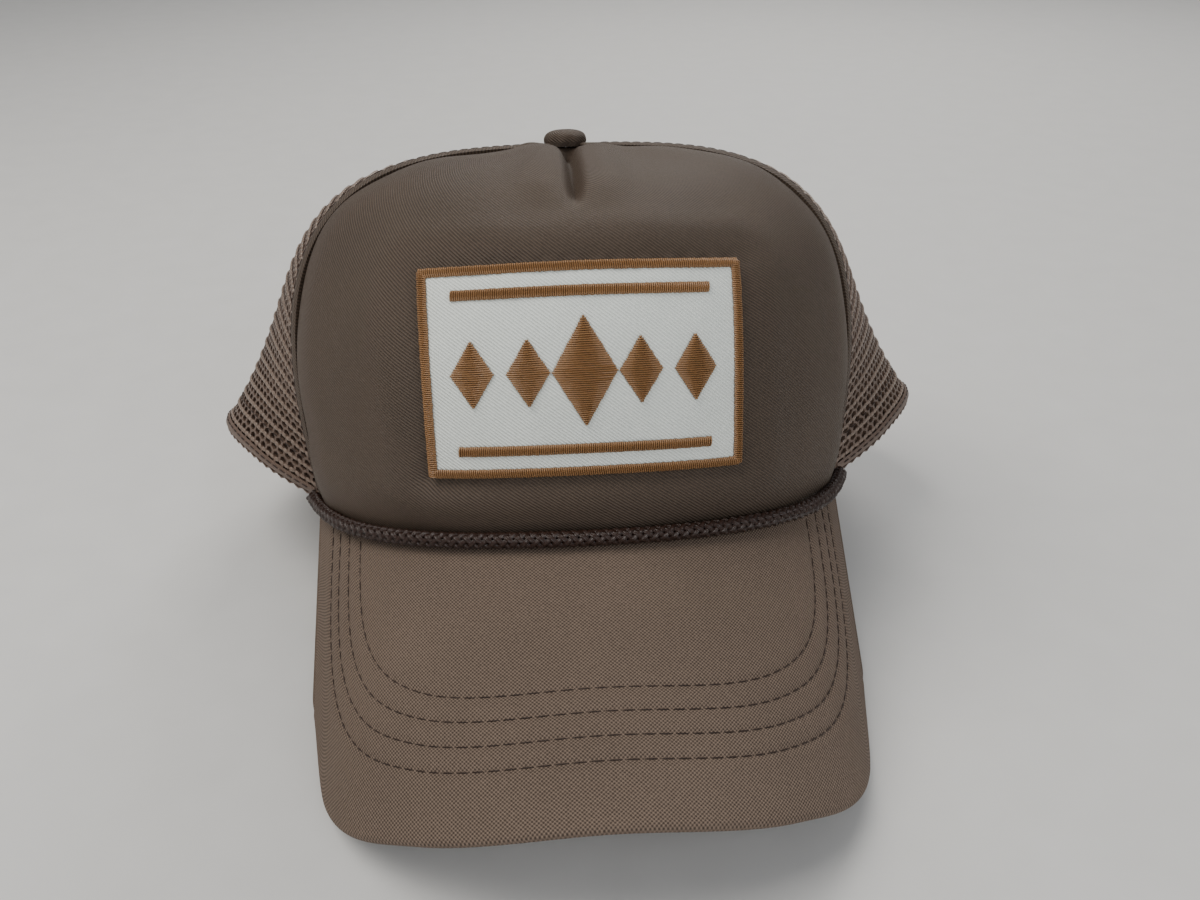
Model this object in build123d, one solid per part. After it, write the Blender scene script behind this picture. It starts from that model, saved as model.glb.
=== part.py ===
from build123d import *
import math
import os

import numpy as np

# A five-panel foam-front trucker cap. Millimetres, +Z up, front towards -Y.
# The crown is drawn upright about a vertical axis through the top button, then
# tipped back by rest_tilt so that the cap rests on its visor and its rear hem.
# Left and right are as seen from the front: left is -X.

# Crown. A reach is the distance of the outside face from the button's axis at the
# hem, a girth is the same distance where the wall stands upright above the hem.
button_axis_y = 18.5
crown_top = 138.0
seam_angle = 73.5
side_angle = 127.0
front_corner_angle = 42.0
flare_start_angle = 86.0
side_reach_angle = 100.0
side_hem_angle = 103.0
side_girth_angle = 105.0
rear_side_angle = 125.0
rear_round_angle = 140.0
rear_corner_angle = 152.0
front_reach = 77.5
front_corner_reach = 80.0
seam_reach = 77.8
side_reach = 112.0
rear_side_reach = 112.5
rear_corner_reach = 98.5
rear_reach = 88.5
front_girth = 82.5
seam_girth = 84.0
side_girth = 86.0
rear_girth = 84.0
front_hem_height = 48.3
seam_hem_height = 42.0
side_hem_height = 56.0
rear_corner_hem_height = 28.0
rear_hem_height = 25.5
flare_power = 2.5
flare_start_share = 0.55
seam_flare_slope = 1.5
seam_hem_slope = 0.8
front_squareness = 3.7
side_squareness = 3.2
rear_side_squareness = 2.5
rear_squareness = 2.2

# Layers of the wall, counted inwards from its outside face.
layer_gap = 0.1
cover_thickness = 0.8
foam_thickness = 4.0
mesh_thickness = 1.2
tape_thickness = 0.6
edge_band_width = 5.5
edge_band_thickness = 0.9
tape_width = 12.0
seam_tape_width = 8.0
strip_top_gap = 4.0
lining_clearance = 0.4
hem_fold_height = 12.0
sweatband_height = 32.0
sweatband_thickness = 1.5
sweatband_end_room = 9.0
hem_fold_end_room = 2.5

# Button on top of the crown.
button_radius = 6.2
button_height = 4.6
button_hole_radius = 3.6
rivet_radius = 1.6
rivet_plate_radius = 6.5
rivet_plate_thickness = 1.0

# Visor: its length along the slope and its slope below level, centre to side.
visor_quarter_angle = 32.0
visor_slope_angle = 50.0
visor_corner_angle = 58.0
visor_board_inset = 1.5
visor_centre_length = 73.5
visor_quarter_length = 75.5
visor_corner_length = 77.5
visor_side_length = 63.0
visor_centre_slope = 31.0
visor_corner_slope = 41.5
visor_side_slope = 48.0
visor_cover_thickness = 0.5
visor_board_thickness = 2.0
visor_seam_clearance = 0.4

# Patch on the front panel.
patch_width = 75.5
patch_height = 50.0
patch_centre_rise = 43.5
patch_thickness = 0.9
patch_border_width = 2.0
stitch_thickness = 0.7
motif_side_count = 2
motif_pitch = 13.0
motif_width = 10.0
motif_height = 16.0
motif_centre_width = 15.0
motif_centre_height = 26.0
motif_bar_rise = 18.5
motif_bar_length = 60.0
motif_bar_width = 2.4

# Opening and strap closure at the back.
opening_half_width = 46.0
opening_side_height = 6.0
opening_height = 50.0
binding_width = 8.0
binding_thickness = 0.6
strap_height = 15.0
strap_thickness = 1.2
strap_tip = 12.0
strap_bottom_rise = 2.0
strap_clearance = 0.3
strap_pivot_inset = 1.8
anchor_length = 11.0
anchor_edge_room = 2.1
stud_pitch = 8.0
stud_count = 6
stud_radius = 1.8
stud_height = 2.9
hole_clearance = 0.5

# Rope across the front of the crown, in the resting frame.
rope_radius = 2.1
rope_points = [
    (-76.7, 5.3, 41.1),
    (-72.4, -7.1, 44.4),
    (-60.6, -25.3, 50.2),
    (-40.3, -39.5, 55.8),
    (-14.2, -46.6, 59.3),
    (14.2, -46.6, 59.2),
    (40.3, -39.5, 55.9),
    (60.6, -25.3, 50.2),
    (72.4, -7.1, 44.3),
    (76.7, 5.3, 41.1),
]


# Cubic through hand-set keys, level at both ends unless a first slope is given.
def blend_keys(keys, at, first_slope=0.0):
    places = [key[0] for key in keys]
    values = [key[1] for key in keys]
    slopes = [first_slope]
    for index in range(1, len(keys) - 1):
        rise = values[index + 1] - values[index - 1]
        slopes.append(rise / (places[index + 1] - places[index - 1]))
    slopes.append(0.0)
    at = min(max(at, places[0]), places[-1])
    index = max(i for i in range(len(keys) - 1) if at >= places[i])
    span = places[index + 1] - places[index]
    t = (at - places[index]) / span
    start = values[index] * (1 + 2 * t) * (1 - t) ** 2 + slopes[index] * span * t * (1 - t) ** 2
    end = values[index + 1] * t * t * (3 - 2 * t) - slopes[index + 1] * span * t * t * (1 - t)
    return start + end


def hem_reach(angle):
    if angle <= seam_angle:
        keys = [(0, front_reach), (front_corner_angle, front_corner_reach), (seam_angle, seam_reach)]
        return blend_keys(keys, angle)
    flare_start_reach = (1 - flare_start_share) * seam_reach + flare_start_share * side_reach
    keys = [(seam_angle, seam_reach), (flare_start_angle, flare_start_reach),
            (side_reach_angle, side_reach), (rear_side_angle, rear_side_reach),
            (rear_corner_angle, rear_corner_reach), (180, rear_reach)]
    return blend_keys(keys, angle, seam_flare_slope)


# The angle at which the hem is a given distance to the side of the centre, at the back.
def rear_angle(across):
    angle = 180.0
    for step in range(12):
        angle = 180.0 - math.degrees(math.asin(across / hem_reach(angle)))
    return angle


def hem_height(angle):
    if angle <= seam_angle:
        return blend_keys([(0, front_hem_height), (seam_angle, seam_hem_height)], angle)
    keys = [(seam_angle, seam_hem_height), (side_hem_angle, side_hem_height),
            (rear_corner_angle, rear_corner_hem_height), (180, rear_hem_height)]
    return blend_keys(keys, angle, seam_hem_slope)


def girth(angle):
    keys = [(0, front_girth), (seam_angle, seam_girth), (side_girth_angle, side_girth), (180, rear_girth)]
    return blend_keys(keys, angle)


# How square the wall turns over into the top: 2 is an ellipse.
def squareness(angle):
    keys = [(0, front_squareness), (seam_angle, front_squareness), (side_girth_angle, side_squareness),
            (rear_round_angle, rear_side_squareness), (180, rear_squareness)]
    return blend_keys(keys, angle)


# The outline of the wall above the hem at one angle round the button's axis, as
# distance from the axis, height, and length along the wall.
def meridian(angle):
    power = squareness(angle)
    body = girth(angle)
    low = hem_height(angle)
    flare = hem_reach(angle) - body
    inner_share = button_hole_radius / body
    last = math.atan2((1 - inner_share ** power) ** (1 / power), inner_share)
    turn = np.linspace(0.0, last, 81)
    scale = (np.cos(turn) ** power + np.sin(turn) ** power) ** (-1 / power)
    climb = scale * np.sin(turn)
    reach = body * scale * np.cos(turn) + flare * (1 - climb) ** flare_power
    height = low + (crown_top - low) * climb
    steps = np.hypot(np.diff(reach), np.diff(height))
    return reach, height, np.concatenate([[0.0], np.cumsum(steps)])


# A point of the wall: angle from the front, positive to the right, length up from
# the hem, and depth inwards from the outside face.
def wall(angle, length, depth):
    reach, height, along = meridian(abs(angle))
    here = np.interp(length, along, reach)
    up = np.interp(length, along, height)
    out = np.interp(length, along, np.gradient(height, along))
    drop = -np.interp(length, along, np.gradient(reach, along))
    size = math.hypot(out, drop)
    here = here - depth * out / size
    up = up - depth * drop / size
    turn = math.radians(angle)
    return Vector(here * math.sin(turn), button_axis_y - here * math.cos(turn), up)


def wall_length(angle):
    return meridian(abs(angle))[2][-1]


def length_at_height(angle, level):
    reach, height, along = meridian(abs(angle))
    return float(np.interp(level, height, along))


# A closed section of the wall in one upright plane through the button's axis.
def wall_section(angle, low, high, outer, inner, points):
    lengths = np.linspace(low, high, points)
    outside = [wall(angle, length, outer) for length in lengths]
    inside = [wall(angle, length, inner) for length in reversed(lengths)]
    return Wire([
        Edge.make_spline(outside),
        Edge.make_line(outside[-1], inside[0]),
        Edge.make_spline(inside),
        Edge.make_line(inside[-1], outside[0]),
    ])


# A piece of the wall between two angles. low, high, outer and inner are functions
# of the angle.
def wall_piece(first, last, low, high, outer, inner, sections, points):
    wires = []
    for angle in np.linspace(first, last, sections):
        wires.append(wall_section(angle, low(angle), high(angle), outer(angle), inner(angle), points))
    return Solid.make_loft(wires)


def fixed(value):
    return lambda angle: value


def panel(first, last, outer, inner, sections):
    return wall_piece(first, last, fixed(0.0), wall_length, fixed(outer), fixed(inner), sections, 15)


# A narrow strip up the wall beside or astride a seam. beside is +1 to lie towards
# larger angles, -1 towards smaller ones and 0 astride.
def seam_strip(angle, beside, width, outer, inner, start, clearance=0.0):
    top = wall_length(angle)
    left_share = {1: 0.0, -1: -1.0, 0: -0.5}[beside]
    wires = []
    for length in np.linspace(start, top - strip_top_gap, 21):
        centre = wall(angle, length, 0.0)
        ahead = wall(angle + (0.5 if beside >= 0 else 0.0), length, 0.0)
        behind = wall(angle - (0.5 if beside <= 0 else 0.0), length, 0.0)
        across = (ahead - behind).normalized()
        along = wall(angle, min(length + 1, top), 0.0) - wall(angle, length - 1, 0.0)
        outward = along.cross(across).normalized()
        axis_foot = Vector(0, button_axis_y, hem_height(abs(angle)))
        outward = outward if outward.dot(centre - axis_foot) > 0 else -outward
        room = min(width, 0.5 * (centre - Vector(0, button_axis_y, centre.Z)).length)
        left = centre + across * (left_share * room + beside * clearance)
        right = left + across * room
        wires.append(Wire.make_polygon([
            left - outward * outer,
            right - outward * outer,
            right - outward * inner,
            left - outward * inner,
        ]))
    return Solid.make_loft(wires)


def crown_cover():
    return panel(-seam_angle, seam_angle, 0.0, cover_thickness, 17)


def crown_foam():
    outer = cover_thickness + layer_gap
    return panel(-seam_angle, seam_angle, outer, outer + foam_thickness, 17)


# The arch over the strap, as a prism through the back wall.
def arch_prism():
    base = 0.0
    shoulder = rear_hem_height + opening_side_height
    with BuildSketch(Plane.XZ.offset(-button_axis_y)) as sketch:
        with BuildLine():
            Polyline((-opening_half_width, shoulder), (-opening_half_width, base),
                     (opening_half_width, base), (opening_half_width, shoulder))
            EllipticalCenterArc((0, shoulder), opening_half_width, opening_height - opening_side_height,
                                start_angle=0, arc_size=180)
        make_face()
    return extrude(sketch.sketch, amount=-2 * rear_side_reach)


# The point of the outside face of the back wall at one place across and one height.
def rear_point(across, level):
    angle = 180.0
    for step in range(12):
        reach, height, along = meridian(angle)
        angle = 180.0 - math.degrees(math.asin(abs(across) / np.interp(level, height, reach)))
    turned = angle if across > 0 else -angle
    return wall(turned, length_at_height(angle, level), 0.0)


# The arch's outline, from the hem on the right over the top to the hem on the left.
def arch_outline(share):
    shoulder = rear_hem_height + opening_side_height
    foot = hem_height(rear_angle(opening_half_width)) + 1.0
    side = shoulder - foot
    rise = opening_height - opening_side_height
    total = 2 * side + math.pi * (opening_half_width + rise) / 2
    travelled = share * total
    if travelled < side:
        return opening_half_width, foot + travelled
    if travelled > total - side:
        return -opening_half_width, foot + total - travelled
    turn = math.pi * (travelled - side) / (total - 2 * side)
    return opening_half_width * math.cos(turn), shoulder + rise * math.sin(turn)


# The strip folded over the edge of the arch: one leg outside, one leg inside and
# the fold that joins them, as a U-shaped section carried round the outline.
def opening_binding():
    fold = binding_thickness + layer_gap
    inside = mesh_thickness + layer_gap
    wires = []
    for share in np.linspace(0.0, 1.0, 33):
        here = rear_point(*arch_outline(share))
        ahead = rear_point(*arch_outline(min(share + 0.01, 1.0)))
        behind = rear_point(*arch_outline(max(share - 0.01, 0.0)))
        along = (ahead - behind).normalized()
        level = (rear_point(here.X + 0.5, here.Z) - rear_point(here.X - 0.5, here.Z))
        upright = (rear_point(here.X, here.Z + 0.5) - rear_point(here.X, here.Z - 0.5))
        outward = upright.cross(level).normalized()
        outward = outward if outward.Y > 0 else -outward
        away = along.cross(outward).normalized()
        centre = Vector(0, here.Y, rear_hem_height)
        away = away if away.dot(here - centre) > 0 else -away
        far = rear_point(here.X + binding_width * away.X, here.Z + binding_width * away.Z)
        drop = (far - here).dot(outward)
        corners = [(-fold, -fold, 0.0), (binding_width, -fold, drop), (binding_width, -layer_gap, drop),
                   (-layer_gap, -layer_gap, 0.0), (-layer_gap, inside, 0.0), (binding_width, inside, drop),
                   (binding_width, inside + binding_thickness, drop),
                   (-fold, inside + binding_thickness, 0.0)]
        wires.append(Wire.make_polygon([
            here + away * across + outward * (lift - depth) for across, depth, lift in corners
        ]))
    return Solid.make_loft(wires)


def back_mesh(side):
    ends = sorted([side * side_angle, side * 180.0])
    return panel(ends[0], ends[1], 0.0, mesh_thickness, 9) - arch_prism()


# Depth of the sweatband: behind the foam in front, close behind the mesh elsewhere.
def sweatband_depth(angle):
    front_depth = cover_thickness + layer_gap + foam_thickness + lining_clearance
    mesh_depth = 2 * mesh_thickness + 2 * lining_clearance
    keys = [(0, front_depth), (seam_angle, front_depth), (seam_angle + 14, mesh_depth), (180, mesh_depth)]
    return blend_keys(keys, abs(angle))


# Angle at which linings stop, a named distance beyond the edge of the rear opening.
def lining_end(distance):
    return rear_angle(opening_half_width + binding_width + distance)


def sweatband():
    end = lining_end(sweatband_end_room)
    return wall_piece(-end, end, fixed(1.0), fixed(sweatband_height), sweatband_depth,
                      lambda angle: sweatband_depth(angle) + sweatband_thickness, 73, 7)


def mesh_hem(side):
    ends = sorted([side * (seam_angle + 1), side * lining_end(hem_fold_end_room)])
    outer = mesh_thickness + lining_clearance
    return wall_piece(ends[0], ends[1], fixed(0.3), fixed(hem_fold_height), fixed(outer),
                      fixed(outer + mesh_thickness - 0.2), 25, 7)


# Button: a covered shell on top, and the rivet plate under the crown that holds it.
def top_button():
    base = crown_top + layer_gap
    with BuildPart() as button:
        with Locations((0, button_axis_y, base)):
            Cylinder(button_radius, button_height, align=(Align.CENTER, Align.CENTER, Align.MIN))
        fillet(button.edges().filter_by(GeomType.CIRCLE).group_by(Axis.Z)[-1], 0.62 * button_height)
        with Locations((0, button_axis_y, base)):
            Cylinder(rivet_radius + layer_gap, 2.0, align=(Align.CENTER, Align.CENTER, Align.MIN),
                     mode=Mode.SUBTRACT)
    return button.part


def button_rivet():
    wall_depth = cover_thickness + layer_gap + foam_thickness + layer_gap
    plate_top = crown_top - wall_depth
    shank_top = crown_top + layer_gap + 1.9
    with BuildPart() as rivet:
        with Locations((0, button_axis_y, plate_top)):
            Cylinder(rivet_plate_radius, rivet_plate_thickness,
                     align=(Align.CENTER, Align.CENTER, Align.MAX))
            Cylinder(rivet_radius, shank_top - plate_top,
                     align=(Align.CENTER, Align.CENTER, Align.MIN))
    return rivet.part


# Visor: straight runs from the crown seam, each with its own slope and length.
def visor_run(angle):
    root = wall(angle, 0.0, -visor_seam_clearance)
    slope = math.radians(blend_keys([(0, visor_centre_slope), (visor_slope_angle, visor_corner_slope),
                                     (seam_angle, visor_side_slope)], abs(angle)))
    run = Vector(0, -math.cos(slope), -math.sin(slope))
    reach = blend_keys([(0, visor_centre_length), (visor_quarter_angle, visor_quarter_length),
                        (visor_corner_angle, visor_corner_length),
                        (seam_angle, visor_side_length)], abs(angle))
    ahead = wall(angle + 0.5, 0.0, -visor_seam_clearance)
    behind = wall(angle - 0.5, 0.0, -visor_seam_clearance)
    outward = run.cross(ahead - behind).normalized()
    outward = outward if outward.Z > 0 else -outward
    return root, run, outward, reach


def visor_layer(top, bottom, inset=0.0):
    wires = []
    turns = [-1 + 2 * step / 28 for step in range(29)]
    for turn in turns:
        angle = seam_angle * math.sin(turn * math.pi / 2)
        root, run, outward, reach = visor_run(angle)
        start = root
        end = root + run * (reach - inset)
        wires.append(Wire.make_polygon([
            start - outward * top,
            end - outward * top,
            end - outward * bottom,
            start - outward * bottom,
        ]))
    return Solid.make_loft(wires)


# Patch: cloth, border and motif are cut from thin layers that follow the front wall.
# A layer is as wide as its prism and runs between two lengths up from the seam.
def patch_block(width, rise_low, rise_high, outer, inner):
    reach = 1.2 * math.degrees(math.asin(patch_width / 2 / front_reach))
    low = patch_centre_rise + rise_low
    high = patch_centre_rise + rise_high
    layer = wall_piece(-reach, reach, fixed(low), fixed(high), fixed(outer), fixed(inner), 13, 9)
    slab = Box(width, 2 * front_reach, 2 * crown_top)
    return layer & (Pos(0, button_axis_y - front_reach, crown_top) * slab)


def patch_sheet(inset, outer, inner):
    half = patch_height / 2 - inset
    return patch_block(patch_width - 2 * inset, -half, half, outer, inner)


def patch_twill():
    return patch_sheet(0.0, -layer_gap - patch_thickness, -layer_gap)


def stitch_depths():
    inner = -2 * layer_gap - patch_thickness
    return inner - stitch_thickness, inner


def patch_border():
    outer, inner = stitch_depths()
    return patch_sheet(0.0, outer, inner) - patch_sheet(patch_border_width, outer - 1, inner + 1)


# A plain band of lozenges between two bars.
def patch_motif():
    outer, inner = stitch_depths()
    layer = patch_sheet(patch_border_width, outer, inner)
    pieces = []
    for place in range(-motif_side_count, motif_side_count + 1):
        half_width = motif_centre_width / 2 if place == 0 else motif_width / 2
        half_height = motif_centre_height / 2 if place == 0 else motif_height / 2
        across = motif_pitch * place
        angle = math.degrees(math.asin(across / front_girth))
        level = wall(angle, patch_centre_rise, 0.0).Z
        plane = Plane(origin=(across, 0, level), x_dir=(1, 0, 0), z_dir=(0, -1, 0))
        outline = Polygon((half_width, 0), (0, half_height), (-half_width, 0), (0, -half_height), align=None)
        pieces += (layer & extrude(plane * outline, amount=2 * front_reach)).solids()
    for side in (-1, 1):
        centre = side * motif_bar_rise
        pieces += patch_block(motif_bar_length, centre - motif_bar_width / 2, centre + motif_bar_width / 2,
                              outer, inner).solids()
    return Compound(pieces)


# Strap plane, strap heights and pivots.
def rear_wall_y(across):
    lining_depth = mesh_thickness + layer_gap + binding_thickness
    return wall(rear_angle(across), strap_height, lining_depth).Y


def strap_outer_y():
    return rear_wall_y(opening_half_width + anchor_length + anchor_edge_room) - strap_clearance


def strap_bottom():
    return rear_hem_height + strap_bottom_rise


def strap_pivot_x():
    return opening_half_width - strap_pivot_inset


# A flat strap from its pivot at +X to its tip; the outer face is at face_y.
def strap_blank(face_y):
    root = strap_pivot_x() + strap_thickness / 2
    middle = strap_bottom() + strap_height / 2
    with BuildPart() as strap:
        with Locations(((root - strap_tip) / 2, face_y - strap_thickness / 2, middle)):
            Box(root + strap_tip, strap_thickness, strap_height)
        tip_edges = strap.edges().filter_by(Axis.Y).group_by(Axis.X)[0]
        fillet(tip_edges, 0.42 * strap_height)
    return strap.part


def stud_places():
    return [-stud_pitch + stud_pitch * step for step in range(stud_count)]


def hole_strap():
    face_y = strap_outer_y()
    strap = strap_blank(face_y)
    middle = strap_bottom() + strap_height / 2
    for place in stud_places():
        bore = Cylinder(stud_radius + hole_clearance, 4 * strap_thickness, rotation=(90, 0, 0))
        strap -= Pos(place, face_y - strap_thickness / 2, middle) * bore
    return strap


def stud_strap():
    face_y = strap_outer_y() - strap_thickness - strap_clearance
    strap = strap_blank(face_y)
    middle = strap_bottom() + strap_height / 2
    for place in stud_places():
        stud = Cylinder(stud_radius, stud_height + strap_thickness / 2, rotation=(90, 0, 0))
        strap += Pos(place, face_y + stud_height / 2 - strap_thickness / 4, middle) * stud
    return mirror(strap, about=Plane.YZ)


# The sewn end of a strap, behind the binding.
def strap_anchor(side, face_y):
    start = opening_half_width - binding_thickness - layer_gap
    middle = start + anchor_length / 2
    block = Box(anchor_length, strap_thickness, strap_height)
    return Pos(side * middle, face_y - strap_thickness / 2, strap_bottom() + strap_height / 2) * block


# Tilt at rest: the visor's lowest edges and the corners of the rear opening touch
# one level plane.
def rest_tilt():
    rear = wall(rear_angle(opening_half_width), 0.0, 0.0)
    visor_depth = visor_board_thickness + 2 * visor_cover_thickness + 2 * layer_gap
    steepest = 0.0
    for step in range(40):
        angle = seam_angle * step / 39
        root, run, outward, reach = visor_run(angle)
        tip = root + run * reach - outward * visor_depth
        steepest = max(steepest, math.atan2(rear.Z - tip.Z, rear.Y - tip.Y))
    return math.degrees(steepest)


def build_upright():
    nodes = {}
    nodes["front_panel_cover"] = crown_cover()
    nodes["front_panel_foam"] = crown_foam()
    band_outer = -layer_gap - edge_band_thickness
    tape_outer = mesh_thickness + lining_clearance
    tape_inner = tape_outer + tape_thickness
    tape_start = sweatband_height + 2.0
    for name, side in (("left", -1), ("right", 1)):
        ends = sorted([side * seam_angle, side * side_angle])
        nodes["front_edge_band_" + name] = seam_strip(
            side * seam_angle, -side, edge_band_width, band_outer, -layer_gap, 3 * rope_radius)
        nodes["side_mesh_" + name] = panel(ends[0], ends[1], 0.0, mesh_thickness, 15)
        nodes["back_mesh_" + name] = back_mesh(side)
        nodes["mesh_hem_" + name] = mesh_hem(side)
        nodes["front_seam_tape_" + name] = seam_strip(
            side * seam_angle, side, seam_tape_width, tape_outer + lining_clearance,
            tape_inner + lining_clearance, tape_start, lining_clearance)
        nodes["side_seam_tape_" + name] = seam_strip(
            side * side_angle, 0, tape_width, tape_outer, tape_inner, tape_start)
    nodes["back_centre_tape"] = seam_strip(
        180, 0, tape_width, tape_outer, tape_inner, opening_height + binding_width + 2)
    nodes["back_opening_binding"] = opening_binding()
    nodes["sweatband"] = sweatband()
    nodes["top_button"] = top_button()
    nodes["button_rivet"] = button_rivet()
    board_top = visor_cover_thickness + layer_gap
    board_bottom = board_top + visor_board_thickness
    nodes["visor_top_cover"] = visor_layer(0.0, visor_cover_thickness)
    nodes["visor_board"] = visor_layer(board_top, board_bottom, visor_board_inset)
    nodes["visor_bottom_cover"] = visor_layer(board_bottom + layer_gap,
                                              board_bottom + layer_gap + visor_cover_thickness)
    nodes["patch_twill"] = patch_twill()
    nodes["patch_border"] = patch_border()
    nodes["patch_motif"] = patch_motif()
    nodes["hole_strap"] = hole_strap()
    nodes["stud_strap"] = stud_strap()
    nodes["hole_strap_anchor"] = strap_anchor(1, strap_outer_y())
    nodes["stud_strap_anchor"] = strap_anchor(-1, strap_outer_y() - strap_thickness - strap_clearance)
    return nodes


# The rope's route: straight runs with a tangent arc at each point, as large as its
# runs allow.
def rope_route():
    runs = [(Vector(*after) - Vector(*before)) for before, after in zip(rope_points, rope_points[1:])]
    radii = []
    for before, after in zip(runs, runs[1:]):
        turn = math.radians(before.get_angle(after))
        radii.append(0.45 * min(before.length, after.length) / math.tan(turn / 2))
    return FilletPolyline(*rope_points, radius=radii), radii


def rope():
    route, radii = rope_route()
    section = Plane(origin=route @ 0, z_dir=route % 0) * Circle(rope_radius)
    tube = sweep(section, path=route)
    print("rope length", round(route.length, 1), "radii", [round(radius) for radius in radii])
    print("rope volume", round(tube.volume), "section x length",
          round(math.pi * rope_radius ** 2 * route.length))
    return tube


# What puts the origin on the ground under the middle of the cap. The corners of
# fine facets give the extents, because a trimmed surface's own box is too large.
def seat_offset(shapes):
    corners = [corner for shape in shapes for corner in shape.tessellate(0.02)[0]]
    width = [corner.X for corner in corners]
    depth = [corner.Y for corner in corners]
    return -(min(width) + max(width)) / 2, -(min(depth) + max(depth)) / 2, -min(c.Z for c in corners)


def main():
    os.makedirs("parts", exist_ok=True)
    tilt = rest_tilt()
    nodes = {name: Rot(X=-tilt) * shape for name, shape in build_upright().items()}
    seat = Pos(*seat_offset(nodes.values()))
    nodes = {name: seat * shape for name, shape in nodes.items()}
    nodes["rope"] = rope()
    print("rest tilt", round(tilt, 3), "seat", [round(value, 3) for value in seat.position])
    for name, shape in nodes.items():
        export_step(shape, "parts/" + name + ".step")


if __name__ == "__main__":
    main()
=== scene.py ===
import functools
import math
import random

import bpy
import numpy as np
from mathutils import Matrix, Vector


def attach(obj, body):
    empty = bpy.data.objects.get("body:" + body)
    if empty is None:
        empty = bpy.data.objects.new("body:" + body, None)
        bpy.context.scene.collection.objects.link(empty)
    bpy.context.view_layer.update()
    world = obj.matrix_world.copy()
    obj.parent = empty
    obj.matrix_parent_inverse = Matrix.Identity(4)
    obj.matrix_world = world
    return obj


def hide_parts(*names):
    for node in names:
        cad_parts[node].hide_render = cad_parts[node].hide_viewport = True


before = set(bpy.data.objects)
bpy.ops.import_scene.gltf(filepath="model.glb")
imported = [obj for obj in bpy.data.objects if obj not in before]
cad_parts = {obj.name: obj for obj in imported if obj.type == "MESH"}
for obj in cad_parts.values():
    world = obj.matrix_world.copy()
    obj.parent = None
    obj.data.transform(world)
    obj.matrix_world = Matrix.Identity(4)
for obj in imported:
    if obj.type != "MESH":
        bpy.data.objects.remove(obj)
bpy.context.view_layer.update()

random.seed(7)
mm = 0.001
bothSides = (("left", -1), ("right", 1))

# camera: looks down at the cap's front from a little to its left
camera = dict(place=(-0.0114, -0.270, 0.220), heading=(0.0628, 0.998), down=31.25, roll=0.7, lens=33.8)


def makeCamera():
    data = bpy.data.cameras.new("camera")
    data.lens = camera["lens"]
    data.sensor_width = 36
    data.clip_start = 0.01
    obj = bpy.data.objects.new("camera", data)
    bpy.context.collection.objects.link(obj)
    down = math.radians(camera["down"])
    ahead = [part * math.cos(down) for part in camera["heading"]]
    look = Vector((*ahead, -math.sin(down)))
    turn = look.to_track_quat("-Z", "Y").to_matrix().to_4x4()
    obj.rotation_euler = turn.to_euler()
    obj.location = camera["place"]
    obj.rotation_euler.rotate_axis("Z", -math.radians(camera["roll"]))
    bpy.context.scene.camera = obj


makeCamera()
print("camera set")

# the crown's wall, as the CAD draws it: angle round the button's axis from the
# front, length up from the hem, depth in from the outside face; all in millimetres
crown = dict(
    axisY=18.5, top=138.0, seam=73.5, side=127.0, hole=3.6, flarePower=2.5,
    frontReach=[(0, 77.5), (42, 80.0), (73.5, 77.8)],
    meshReach=[(73.5, 77.8), (86, 96.61), (100, 112.0), (125, 112.5), (152, 98.5), (180, 88.5)],
    frontHem=[(0, 48.3), (73.5, 42.0)],
    meshHem=[(73.5, 42.0), (103, 56.0), (152, 28.0), (180, 25.5)],
    girth=[(0, 82.5), (73.5, 84.0), (105, 86.0), (180, 84.0)],
    square=[(0, 3.7), (73.5, 3.7), (105, 3.2), (140, 2.5), (180, 2.2)],
    hemSlope=0.8, reachSlope=1.5, samples=61, tilt=13.105, seat=(0.0, 2.344, -3.275),
)


def blendKeys(keys, at, firstSlope=0.0):
    slopes = [firstSlope]
    for i in range(1, len(keys) - 1):
        slopes.append((keys[i + 1][1] - keys[i - 1][1]) / (keys[i + 1][0] - keys[i - 1][0]))
    slopes.append(0.0)
    at = min(max(at, keys[0][0]), keys[-1][0])
    i = max(k for k in range(len(keys) - 1) if at >= keys[k][0])
    span = keys[i + 1][0] - keys[i][0]
    t = (at - keys[i][0]) / span
    start = keys[i][1] * (1 + 2 * t) * (1 - t) ** 2 + slopes[i] * span * t * (1 - t) ** 2
    return start + keys[i + 1][1] * t * t * (3 - 2 * t) - slopes[i + 1] * span * t * t * (1 - t)


def hemHeight(angle):
    if angle <= crown["seam"]:
        return blendKeys(crown["frontHem"], angle)
    return blendKeys(crown["meshHem"], angle, crown["hemSlope"])


@functools.lru_cache(maxsize=200000)
def meridian(angle):
    power = blendKeys(crown["square"], angle)
    body = blendKeys(crown["girth"], angle)
    low = hemHeight(angle)
    if angle <= crown["seam"]:
        reachAtHem = blendKeys(crown["frontReach"], angle)
    else:
        reachAtHem = blendKeys(crown["meshReach"], angle, crown["reachSlope"])
    share = crown["hole"] / body
    last = math.atan2((1 - share ** power) ** (1 / power), share)
    turn = np.linspace(0.0, last, crown["samples"])
    scale = (np.cos(turn) ** power + np.sin(turn) ** power) ** (-1 / power)
    climb = scale * np.sin(turn)
    reach = body * scale * np.cos(turn) + (reachAtHem - body) * (1 - climb) ** crown["flarePower"]
    height = low + (crown["top"] - low) * climb
    along = np.concatenate([[0.0], np.cumsum(np.hypot(np.diff(reach), np.diff(height)))])
    return reach, height, along, np.gradient(height, along), -np.gradient(reach, along)


def upright(angle, length, depth):
    reach, height, along, out, drop = meridian(round(abs(angle), 2))
    here, up, o, d = (np.interp(length, along, values) for values in (reach, height, out, drop))
    size = math.hypot(o, d)
    here -= depth * o / size
    up -= depth * d / size
    if length < 0:
        up += length
    turn = math.radians(angle)
    return Vector((here * math.sin(turn), crown["axisY"] - here * math.cos(turn), up))


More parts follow.
